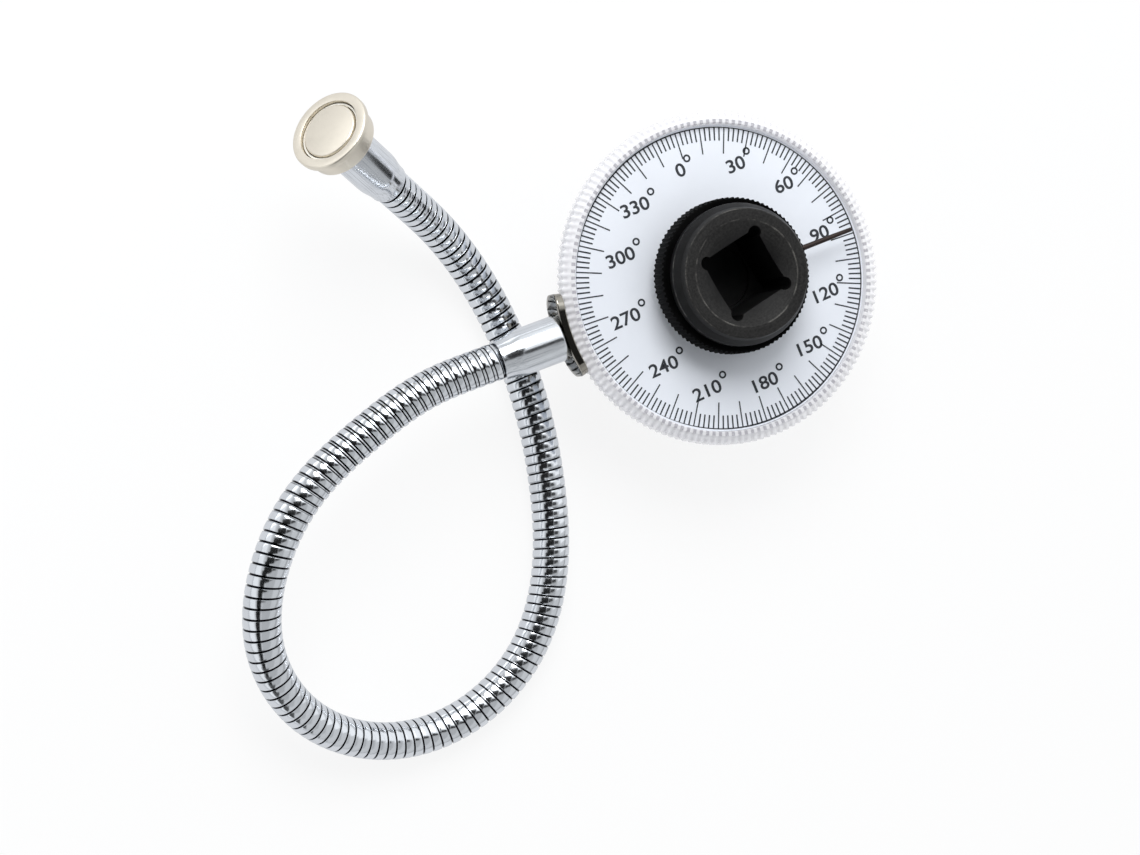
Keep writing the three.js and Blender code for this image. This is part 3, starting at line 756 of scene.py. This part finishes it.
def make_washers():
    """The four rings on the journal, and a finish for the hidden ring and screws."""
    wave_rise = high("wave_washer").z - low("wave_washer").z - WAVE_SHEET

    def washer(name, node, body, finish, sheet=None, shape=None):
        bottom, outer = low(node).z, high(node).x
        top = bottom + sheet if sheet else high(node).z
        rows = [
            (JOURNAL_BORE, bottom, 0.08), (outer, bottom, 0.12),
            (outer, top, 0.12), (JOURNAL_BORE, top, 0.08),
        ]
        place(make(name, turned(rows, 128, True, shape), finish), body, node)

    def waved(angle, radius, height):
        return radius, height + wave_rise * (1 + math.cos(WAVES * angle)) / 2

    washer("steel_backing_washer", "backing_washer", "arm", PLAIN_STEEL)
    washer("nylon_thrust_washer", "thrust_washer", "drive", NYLON)
    washer("bronze_scale_bush", "scale_bush", "scale", BRONZE)
    washer("spring_wave_washer", "wave_washer", "arm", PLAIN_STEEL, WAVE_SHEET, waved)
    repaint("retaining_ring", BLACK_OXIDE)
    repaint("arm_screw", PLAIN_STEEL)
    repaint("magnet_screw", PLAIN_STEEL)


def make_rim():
    """Clear rim and its floor, knurled outside and down its sloping edge, with a white print on its back."""
    bottom, top = low("bezel").z, high("bezel").z
    inner = DIAL_RADIUS + GAP
    bore = high("scale_bush").x + GAP
    floor = low("dial_plate").z - GAP
    foot = top - RIM_SLOPE_DROP
    slope = []
    for k in range(RIM_SLOPE_STEPS + 1):
        inset, rise = RIM_SLOPE_WIDTH * k / RIM_SLOPE_STEPS, RIM_SLOPE_DROP * k / RIM_SLOPE_STEPS
        slope.append((RIM_RADIUS - inset, foot + rise))
    rows = [
        (bore, bottom), (RIM_RADIUS - 0.4, bottom), (RIM_RADIUS, bottom + 0.3), *slope,
        (inner + 0.25, top), (inner, top - 0.2), (inner, floor), (bore, floor),
    ]

    def knurled(angle, radius, height):
        root = between_teeth(angle, RIM_TEETH)
        on_slope = radius > RIM_RADIUS - RIM_DIP_WIDTH and height > foot - 0.01
        dip = RIM_DIP_DEPTH * root if on_slope else 0
        return min(radius, RIM_RADIUS - RIM_TOOTH_DEPTH * root), height - dip

    rim = make("clear_knurled_rim", turned(rows, RIM_TEETH * TOOTH_POINTS, True, knurled), CLEAR_PLASTIC)
    place(rim, "scale", "bezel")
    lower, upper = (bottom - depth for depth in BACK_PRINT_DEPTHS)
    back = turned(section(bore, RIM_RADIUS - BACK_PRINT_INSET, lower, upper), 256, True)
    place(make("white_back_print", back, DIAL_WHITE), "scale")


def make_dial():
    bottom = low("dial_plate").z
    edge = DIAL_RADIUS + GAP - DIAL_EDGE_GAP
    rows = [
        (JOURNAL_BORE, bottom), (edge, bottom, 0.05), (edge, DIAL_FACE, 0.05), (JOURNAL_BORE, DIAL_FACE, 0.1),
    ]
    place(make("white_dial", turned(rows, 256, True), DIAL_WHITE), "scale", "dial_plate")


def make_marks():
    """180 marks, one each 2 degrees and every fifth long, and round their outer ends a painted shadow line
    for the gap between dial and rim.
    """
    build = bmesh.new()
    bottom, top = DIAL_FACE + INK_LIFT, DIAL_FACE + INK_LIFT + INK_THICKNESS
    for k in range(MARKS):
        start, half = LONG_MARK if k % MARKS_PER_LONG_MARK == 0 else SHORT_MARK
        spin = Matrix.Rotation(ZERO_TURN - TURN * k / MARKS, 3, "Z")
        corners = [(-half, start), (half, start), (half, MARK_END), (-half, MARK_END)]
        build.faces.new([build.verts.new(spin @ Vector((x, y, top))) for x, y in corners])
    # Painted shadow line of the gap between dial and rim, bolder on some sides and missing on others
    rings = [[], [], [], []]
    for k in range(GAP_SHADOW_LINE_POINTS):
        angle = TURN * k / GAP_SHADOW_LINE_POINTS
        shadow_boldness = through_table(GAP_SHADOW_LINE_SHARES, k / GAP_SHADOW_LINE_POINTS)
        half = shadow_boldness * GAP_SHADOW_LINE_HALF + GAP_SHADOW_LINE_LEAST_HALF
        inner, outer = GAP_SHADOW_LINE_RADIUS - half, GAP_SHADOW_LINE_RADIUS + half
        corners = ((inner, bottom), (inner, top), (outer, top), (outer, bottom))
        for ring, (r, z) in zip(rings, corners):
            ring.append(build.verts.new((r * math.cos(angle), r * math.sin(angle), z)))
    skin(build, rings, False)
    place(make("dial_marks_and_gap_shadow", build, INK), "scale")


def number_shape(degrees):
    """The number in its plain letters, widened a little, in millimetres."""
    words = bpy.data.curves.new(f"number_{degrees}", "FONT")
    words.body = str(degrees)
    words.size = NUMBER_SIZE * MM
    words.align_x = "CENTER"
    words.align_y = "CENTER"
    words.extrude = INK_THICKNESS * MM / 2
    words.offset = NUMBER_BOLDNESS * MM
    number = bpy.data.objects.new(f"number_{degrees}_curve", words)
    bpy.context.collection.objects.link(number)
    shape = number.evaluated_get(bpy.context.evaluated_depsgraph_get())
    mesh = bpy.data.meshes.new_from_object(shape)
    mesh.transform(Matrix.Diagonal((NUMBER_WIDTH_SHARE, 1, 1, 1)))
    bpy.data.objects.remove(number)
    build = bmesh.new()
    build.from_mesh(mesh)
    bmesh.ops.scale(build, vec=(1 / MM,) * 3, verts=build.verts)
    return build


def add_degree_ring(build):
    """The small ring above the number's last figure, level with its ink's top."""
    centre = max(v.co.x for v in build.verts) + DEGREE_RING_SHIFT
    rings = [[], []]
    for k in range(DEGREE_RING_POINTS):
        angle = TURN * k / DEGREE_RING_POINTS
        for ring, r in zip(rings, DEGREE_RING_RADII):
            x, y = centre + r * math.cos(angle), DEGREE_RING_RISE + r * math.sin(angle)
            ring.append(build.verts.new((x, y, INK_THICKNESS / 2)))
    skin(build, rings, False)


def make_labels():
    """The numbers 0 to 330 with their degree rings, upright in the scale's own turn."""
    label_turn = Matrix.Rotation(ZERO_TURN + LABEL_TURN, 4, "Z")
    for degrees in range(0, 360, 30):
        build = number_shape(degrees)
        add_degree_ring(build)
        angle = math.radians(degrees)
        reach = LABEL_SHIFT + Vector((math.sin(angle), math.cos(angle))) * LABEL_RADIUS
        reach += Vector(LABEL_NUDGES.get(degrees, (0, 0)))
        spot = label_turn @ reach.to_3d()
        spot.z = DIAL_FACE + INK_LIFT + INK_THICKNESS / 2
        label = make(f"label_{degrees}", build, INK)
        place(label, "scale", at=Matrix.Translation(spot * MM) @ label_turn)


def make_bracket_plate():
    """Ring round the journal and strip out to the tab, in one flat sheet under the dial."""
    bottom = low("arm_bracket").z
    outer = JOURNAL_BORE + BRACKET_RING_WIDTH
    outer_face = RIM_RADIUS + GAP + TAB_THICKNESS
    first = math.asin(BRACKET_STRIP_HALF / outer)
    end = math.asin(BRACKET_STRIP_HALF / outer_face)
    outline = arc(outer, first, TURN - first, 96) + arc(outer_face, -end, end, 12)
    plate = make("bracket_plate", prism(outline, bottom, bottom + BRACKET_SHEET, 0.15), NICKEL_SHEET)
    tool = turned(section(0, JOURNAL_BORE, bottom - 2, bottom + 4), sides=128)
    carve(plate, [make("bore_tool", tool, NICKEL_SHEET)])
    place(plate, "arm", "arm_bracket", at=Matrix.Rotation(ARM_ANGLE, 4, "Z"))


def tab_outline(inset):
    """Rounded rectangle that lies inset from the tab's edge, with points along its long sides too."""
    x, y = TAB_WIDTH / 2 - inset, TAB_HEIGHT / 2 - inset
    r = max(TAB_CORNER - inset, TAB_LEAST_CORNER)
    spots = []
    for quarter, (sx, sy) in enumerate(((1, 1), (-1, 1), (-1, -1), (1, -1))):
        for k in range(TAB_CORNER_STEPS + 1):
            angle = QUARTER * (quarter + k / TAB_CORNER_STEPS)
            spots.append((sx * (x - r) + r * math.cos(angle), sy * (y - r) + r * math.sin(angle)))
        if sx * sy > 0:
            u, v = spots[-1]
            spots += [(u * (1 - 2 * k / TAB_EDGE_STEPS), v) for k in range(1, TAB_EDGE_STEPS)]
    return spots


def make_bracket_tab():
    """The tab turned up outside the rim and curved round it."""
    build = bmesh.new()
    inner_face = RIM_RADIUS + GAP
    back = [(inset, TAB_THICKNESS - depth) for inset, depth in reversed(TAB_LEVELS)]
    rings = []
    for inset, depth in (*TAB_LEVELS, *back):
        reach = inner_face + depth
        ring = []
        for u, v in tab_outline(inset):
            spread = u / (inner_face + TAB_THICKNESS / 2)
            spot = (reach * math.cos(spread), reach * math.sin(spread), ARM_HEIGHT + v)
            ring.append(build.verts.new(spot))
        rings.append(ring)
    skin(build, rings, False)
    build.faces.new(rings[0])
    build.faces.new(reversed(rings[-1]))
    tab = make("bracket_tab", build, NICKEL_SHEET)
    place(tab, "arm", "arm_bracket", at=Matrix.Rotation(ARM_ANGLE, 4, "Z"))


def ferrule_section(length):
    """A sleeve with a screw bore and a seat for the tube, narrowed smoothly towards its mouth."""
    narrowing = []
    for k in range(FERRULE_TAPER_STEPS + 1):
        wide = (1 + math.cos(math.pi * k / FERRULE_TAPER_STEPS)) / 2
        radius = FERRULE_MOUTH + (FERRULE_RADIUS - FERRULE_MOUTH) * wide
        narrowing.append((radius, length - 0.3 - FERRULE_TAPER * (1 - k / FERRULE_TAPER_STEPS)))
    seat = length - FERRULE_SEAT_DEPTH
    return [
        (SCREW_BORE_RADIUS, 0), (FERRULE_RADIUS, 0, 0.35), (FERRULE_RADIUS, 0.8), *narrowing,
        (FERRULE_MOUTH, length, 0.12), (FERRULE_SEAT_RADIUS, length), (FERRULE_SEAT_RADIUS, seat),
        (SCREW_BORE_RADIUS, seat),
    ]


def along(point, direction):
    """A frame at a point in millimetres whose Z runs along the direction."""
    turn = Vector((0, 0, 1)).rotation_difference(direction).to_matrix().to_4x4()
    return Matrix.Translation(Vector(point) * MM) @ turn


def make_arm_ferrule():
    ahead = Vector((math.cos(ARM_ANGLE), math.sin(ARM_ANGLE), 0))
    foot = ahead * FERRULE_START + Vector((0, 0, ARM_HEIGHT))
    sleeve = turned(ferrule_section(FERRULE_LENGTH), 96, True)
    place(make("chrome_arm_ferrule", sleeve, DRAWN_CHROME), "arm", "arm_ferrule", at=along(foot, ahead))


def route_height(share):
    """Down from the arm's height to the table, level along it, and up again towards the magnet."""
    t = unit((share - DIVE_START) / DIVE_SHARE)
    climb = max(share - CLIMB_START, 0) / CLIMB_SHARE
    rise = math.sin(CLIMB_SLOPE) * CURVE_LENGTH * CLIMB_SHARE / 2
    return ARM_HEIGHT - (ARM_HEIGHT - TUBE_RADIUS) * t * t * (3 - 2 * t) + rise * climb * climb


def make_route():
    """(point, direction) in small equal steps along the tube's axis."""
    ahead = Vector((math.cos(ARM_ANGLE), math.sin(ARM_ANGLE), 0))
    spot = ahead * NECK_START + Vector((0, 0, ARM_HEIGHT))
    points = [(spot.copy(), ahead.copy())]
    spot += ahead * STRAIGHT_RUN
    points.append((spot.copy(), ahead.copy()))
    for i in range(ROUTE_STEPS):
        climb = route_height((i + 1) / ROUTE_STEPS) - route_height(i / ROUTE_STEPS)
        climb *= ROUTE_STEPS / CURVE_LENGTH
        heading = ARM_ANGLE + math.radians(through_table(HEADING_TURNS, (i + 0.5) / ROUTE_STEPS))
        level = math.sqrt(1 - climb * climb)
        ahead = Vector((level * math.cos(heading), level * math.sin(heading), climb))
        spot = spot + ahead * (CURVE_LENGTH / ROUTE_STEPS)
        points.append((spot.copy(), ahead.copy()))
    return points


ROUTE = make_route()


def on_route(distance):
    """Point and direction of the tube's axis; before its start and past its end it runs straight."""
    share = (distance - STRAIGHT_RUN) / CURVE_LENGTH
    if share <= 0:
        spot, ahead = ROUTE[0]
        return spot + ahead * distance, ahead
    if share >= 1:
        spot, ahead = ROUTE[-1]
        return spot + ahead * (distance - STRAIGHT_RUN - CURVE_LENGTH), ahead
    i = min(math.floor(share * ROUTE_STEPS), ROUTE_STEPS - 1)
    past = distance - STRAIGHT_RUN - i * CURVE_LENGTH / ROUTE_STEPS
    ahead = ROUTE[i + 2][1]
    blend = share * ROUTE_STEPS - i
    direction = ROUTE[i + 1][1].lerp(ahead, blend).normalized()
    return ROUTE[i + 1][0] + ahead * past, direction


def groove_width(share):
    """The groove widens from the arm's ferrule on, and once more towards the magnet."""
    first = unit(share / GROOVE_GAIN_RUN)
    last = unit((share - GROOVE_LAST_GAIN_START) / GROOVE_GAIN_RUN)
    return GROOVE_WIDTH + GROOVE_FIRST_GAIN * first + GROOVE_LAST_GAIN * last


def winding_rows(share):
    """(share of a turn, depth, painted shade) along one turn: groove, inner band, groove, outer band."""
    openness = max(through_table(OPENNESS_SHARES, share), 0)
    show = min(3 * openness, 1)
    groove = groove_width(share)
    inner_end = groove + INNER_BAND_LEAST_WIDTH + INNER_BAND_OPEN_WIDTH * openness
    outer_start = inner_end + groove * show + 0.005
    inner_depth = INNER_BAND_LEAST_DEPTH + INNER_BAND_DEPTH * show
    second_depth = CLOSED_DEPTH + (GROOVE_DEPTH - CLOSED_DEPTH) * show
    rows = [
        (0, GROOVE_DEPTH, 1), (groove, GROOVE_DEPTH, 1), (groove + 0.015, inner_depth + 0.04, 0.1),
        (inner_end - 0.01, inner_depth, 0.1), (inner_end, second_depth, show),
        (outer_start, second_depth, show),
    ]
    for crown_share in CROWN_SHARES:
        fall = CROWN_DEPTH * ((2 * crown_share - 1) ** 2) ** 1.5
        rows.append((outer_start + (1 - outer_start) * crown_share, fall, 0))
    return rows


ROWS = len(winding_rows(0))


def wound_point(row, side):
    """The strip's point at one of its rows and a side of the tube, and how much painted shade it carries."""
    turn = row // ROWS + side / TUBE_SIDES
    share, depth, dark = winding_rows(turn / TURNS)[row % ROWS]
    distance = TURN_START + (turn + share) * TURN_PITCH
    spot, ahead = on_route(distance)
    across = Vector((-ahead.y, ahead.x, 0)).normalized()
    up = ahead.cross(across)
    angle = TURN * side / TUBE_SIDES
    radius = TUBE_RADIUS - depth
    if distance < GAP or distance > ARM_LENGTH - GAP:
        radius = min(radius, TUBE_END_RADIUS)
    return spot + (across * math.cos(angle) + up * math.sin(angle)) * radius, dark


def wound_length(first, last):
    """The wound strip between two of its rows; after one time round it goes on a turn further."""
    build = bmesh.new()
    # Per-point painted shade for the grooves, read by the winding's finish
    groove = build.verts.layers.float.new("groove")
    corners = {}

    def corner(row, side):
        key = (row + ROWS * (side // TUBE_SIDES), side % TUBE_SIDES)
        if key not in corners:
            spot, dark = wound_point(*key)
            corners[key] = build.verts.new(spot)
            corners[key][groove] = dark
        return corners[key]

    for row in range(first, last):
        for side in range(TUBE_SIDES):
            near = (corner(row, side), corner(row + 1, side))
            build.faces.new((*near, corner(row + 1, side + 1), corner(row, side + 1)))
    return build


def make_neck():
    """The winding in four lengths, each over one of the arm's joints."""
    rows = [round((share * ARM_LENGTH - TURN_START) / TURN_PITCH) * ROWS for share in NECK_MEETING_SHARES]
    rows = [0, *rows, TURNS * ROWS - ROWS]
    for i, (first, last) in enumerate(zip(rows, rows[1:])):
        length = make(f"wound_neck_{i + 1}", wound_length(first, last), WOUND_CHROME)
        start, end = (on_route(share * ARM_LENGTH)[0] * MM for share in NECK_BEND_SHARES[i])
        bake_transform(length)
        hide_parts(f"gooseneck_{i + 1}", f"gooseneck_{i + 2}")


def make_magnet():
    """Ferrule, cup, face disc and spacer ring, in line with the end of the gooseneck."""
    head = along(*on_route(ARM_LENGTH))
    flip = Matrix.Translation((0, 0, MAGNET_FERRULE_LENGTH * MM)) @ Matrix.Rotation(math.pi, 4, "X")
    sleeve = turned(ferrule_section(MAGNET_FERRULE_LENGTH), 96, True)
    place(make("chrome_magnet_ferrule", sleeve, DRAWN_CHROME), "magnet", "magnet_ferrule", at=head @ flip)
    foot = MAGNET_FERRULE_LENGTH + GAP
    top = foot + CUP_HEIGHT
    floor = foot + CUP_FLOOR
    flange = top - FLANGE_THICKNESS
    cup = turned([
        (SCREW_BORE_RADIUS, foot), (CUP_RADIUS, foot, 0.35), (CUP_RADIUS, flange),
        (FLANGE_RADIUS, flange, 0.2), (FLANGE_RADIUS, top, 0.35), (CUP_BORE_RADIUS, top, 0.08),
        (CUP_BORE_RADIUS, floor), (COUNTERSINK_RADIUS, floor), (SCREW_BORE_RADIUS, floor - COUNTERSINK_DEPTH),
    ], 160, True)
    place(make("nickel_magnet_cup", cup, MAGNET_NICKEL), "magnet", "magnet_cup", at=head)
    seat, face = floor + GAP, top - DISC_SINK
    disc = turned([(0, seat), (DISC_RADIUS, seat), (DISC_RADIUS, face, 0.3), (0, face)], 144)
    place(make("nickel_magnet_disc", disc, MAGNET_NICKEL), "magnet", "magnet_disc", at=head)
    spacer = turned(section(*SPACER_RADII, seat, top - SPACER_SINK), 144, True)
    place(make("nylon_magnet_spacer", spacer, NYLON), "magnet", "magnet_spacer", at=head)


make_head()
make_square()
make_detent()
make_collar()
make_pointer()
make_washers()
make_rim()
make_dial()
make_marks()
make_labels()
make_bracket_plate()
make_bracket_tab()
make_arm_ferrule()
make_neck()
make_magnet()


# Studio: a pale table, a soft room with one bright window and its dark surround, one soft lamp
VIEW_TILT = math.radians(15.8)
VIEW_ROLL = math.radians(32.5)
VIEW_DISTANCE = 450.0
PIXELS_PER_MM = 5.0
PHOTO_WIDTH, PHOTO_HEIGHT = 1140, 855
DIAL_PIXEL = Vector((721.1, 278.1))
SENSOR_WIDTH = 36

# The room's brightness, and its patches as directions from the gauge, in degrees to the right and
# upwards from straight at the camera: left, right, bottom, top, soft edge, brightness
ROOM_LEVEL = 0.66
ROOM_PATCHES = (
    (-200, -38, -200, 200, 6, 0.95),
    (-120, -45, 45, 120, 8, 1.6),
    (60, 200, -20, 200, 8, 1.05),
    (-14, 66, 6, 86, 6, 1.05),
    (6, 40, 13, 42, 5, 1.6),
    (-8, 20, 43, 52, 3, 0.5),
    (-34, -12, 2, 56, 6, 0.5),
    (0, 60, -66, 5, 6, 0.5),
    (22, 50, -12, 8, 3, 0.03),
    (-46, 26, -88, -56, 5, 0.08),
    (-34, -3, -62, 2, 4, 0.01),
    (-24, 23, -17, 21, 3, 0.01),
)

# Table in millimetres, lamp in metres
TABLE_HALF = 1500
TABLE_DROP = 0.02
TABLE_WHITE_SHARE = 0.86
TABLE_FADE = (150, 600)
LAMP_SIZE = 0.5
LAMP_POWER = 4.0
LAMP_DISTANCE = 0.8


def make_camera():
    """Looks at the dial from the photograph's side, so that the dial's centre falls on its pixel."""
    looking_down = Matrix(((1, 0, 0), (0, -1, 0), (0, 0, -1)))
    turn = Matrix.Rotation(-VIEW_TILT, 3, "Y") @ Matrix.Rotation(-VIEW_ROLL, 3, "Z") @ looking_down
    offset = (DIAL_PIXEL - Vector((PHOTO_WIDTH, PHOTO_HEIGHT)) / 2) / PIXELS_PER_MM
    spot = Vector((0, 0, DIAL_FACE)) - turn.transposed() @ Vector((offset.x, offset.y, VIEW_DISTANCE))
    right, down, forward = turn
    axes = Matrix((right, -down, -forward)).transposed()
    data = bpy.data.cameras.new("photo_camera")
    data.sensor_width = SENSOR_WIDTH
    data.lens = SENSOR_WIDTH * PIXELS_PER_MM * VIEW_DISTANCE / PHOTO_WIDTH
    data.clip_start = 0.01
    camera = bpy.data.objects.new("photo_camera", data)
    camera.matrix_world = Matrix.Translation(spot * MM) @ axes.to_4x4()
    bpy.context.collection.objects.link(camera)
    bpy.context.scene.camera = camera
    return right, -down, -forward


class Room(Finish):
    """The world's nodes, painted by direction."""

    def __init__(self):
        world = bpy.data.worlds.new("studio")
        world.use_nodes = True
        bpy.context.scene.world = world
        self.start(world.node_tree)
        self.background = self.tree.nodes["Background"]


def make_room(right, up, back):
    """Even walls with soft patches of light and dark, and plain white to the camera."""
    room = Room()
    direction = room.node("ShaderNodeTexCoord", output="Generated")

    def toward(axis):
        settings = {"operation": "DOT_PRODUCT"}
        return room.node("ShaderNodeVectorMath", settings, {0: direction, 1: axis}, "Value")

    depth = toward(back)
    side = toward(right).math("ARCTAN2", depth) * (180 / math.pi)
    rise = toward(up).math("ARCTAN2", depth) * (180 / math.pi)
    level = side * 0 + ROOM_LEVEL
    for left, right_end, bottom, top, edge, brightness in ROOM_PATCHES:
        patch = side.band(left, right_end, edge) * rise.band(bottom, top, edge)
        level = (level * (1 - patch)) + (patch * brightness)
    behind = 1 - depth.step(-0.15, 0.05)
    level = level * (1 - (toward((0, 0, 1)).band(-0.03, 0.2, 0.06) * behind * 0.35))
    seen = room.node("ShaderNodeLightPath", output="Is Camera Ray")
    level = (level * (1 - seen)) + seen
    room.plug(room.background.inputs["Strength"], level)
    room.background.inputs["Color"].default_value = colour(0.97, 0.985, 1.0)


def make_table():
    """Pale table that keeps the gauge's shadow and shows white, greyer far off in reflections."""
    build = bmesh.new()
    bmesh.ops.create_grid(build, x_segments=1, y_segments=1, size=TABLE_HALF)
    finish = Finish("pale_table", {"Roughness": 0.8, "Specular IOR Level": 0.1})
    finish.set({"Base Color": colour(0.93, 0.94, 0.95)})
    path = finish.node("ShaderNodeLightPath").socket.node
    rays = [Tap(finish, path.outputs[f"Is {kind} Ray"]) for kind in ("Camera", "Glossy", "Transmission")]
    seen = rays[0].math("MAXIMUM", rays[1]).math("MAXIMUM", rays[2])
    x, y, _ = finish.axes()
    far = length_of(x, y).step(*TABLE_FADE)
    mirrored = finish.mix(far, colour(0.75, 0.755, 0.77), colour(0.4, 0.41, 0.43))
    tone = finish.mix(rays[1], colour(1, 1, 1), mirrored)
    white = finish.node("ShaderNodeEmission", sockets={"Color": tone, "Strength": 1.0})
    shader = Tap(finish, finish.shader.outputs["BSDF"])
    sockets = {0: seen * TABLE_WHITE_SHARE, 1: shader, 2: white}
    mixed = finish.node("ShaderNodeMixShader", sockets=sockets)
    finish.plug(finish.tree.nodes["Material Output"].inputs["Surface"], mixed)
    table = make("table", build, finish.material)
    table.location.z = -TABLE_DROP * MM


def make_lamp(up, back):
    data = bpy.data.lights.new("soft_lamp", "AREA")
    data.shape = "DISK"
    data.size = LAMP_SIZE
    data.energy = LAMP_POWER
    lamp = bpy.data.objects.new("soft_lamp", data)
    spot = (up * 0.55 + back * 0.75).normalized() * LAMP_DISTANCE
    lamp.matrix_world = Matrix.Translation(spot) @ spot.to_track_quat("Z", "Y").to_matrix().to_4x4()
    bpy.context.collection.objects.link(lamp)


view_right, view_up, view_back = make_camera()
make_room(view_right, view_up, view_back)
make_table()
make_lamp(view_up, view_back)
bpy.context.scene.view_settings.view_transform = "Standard"

bpy.context.view_layer.update()
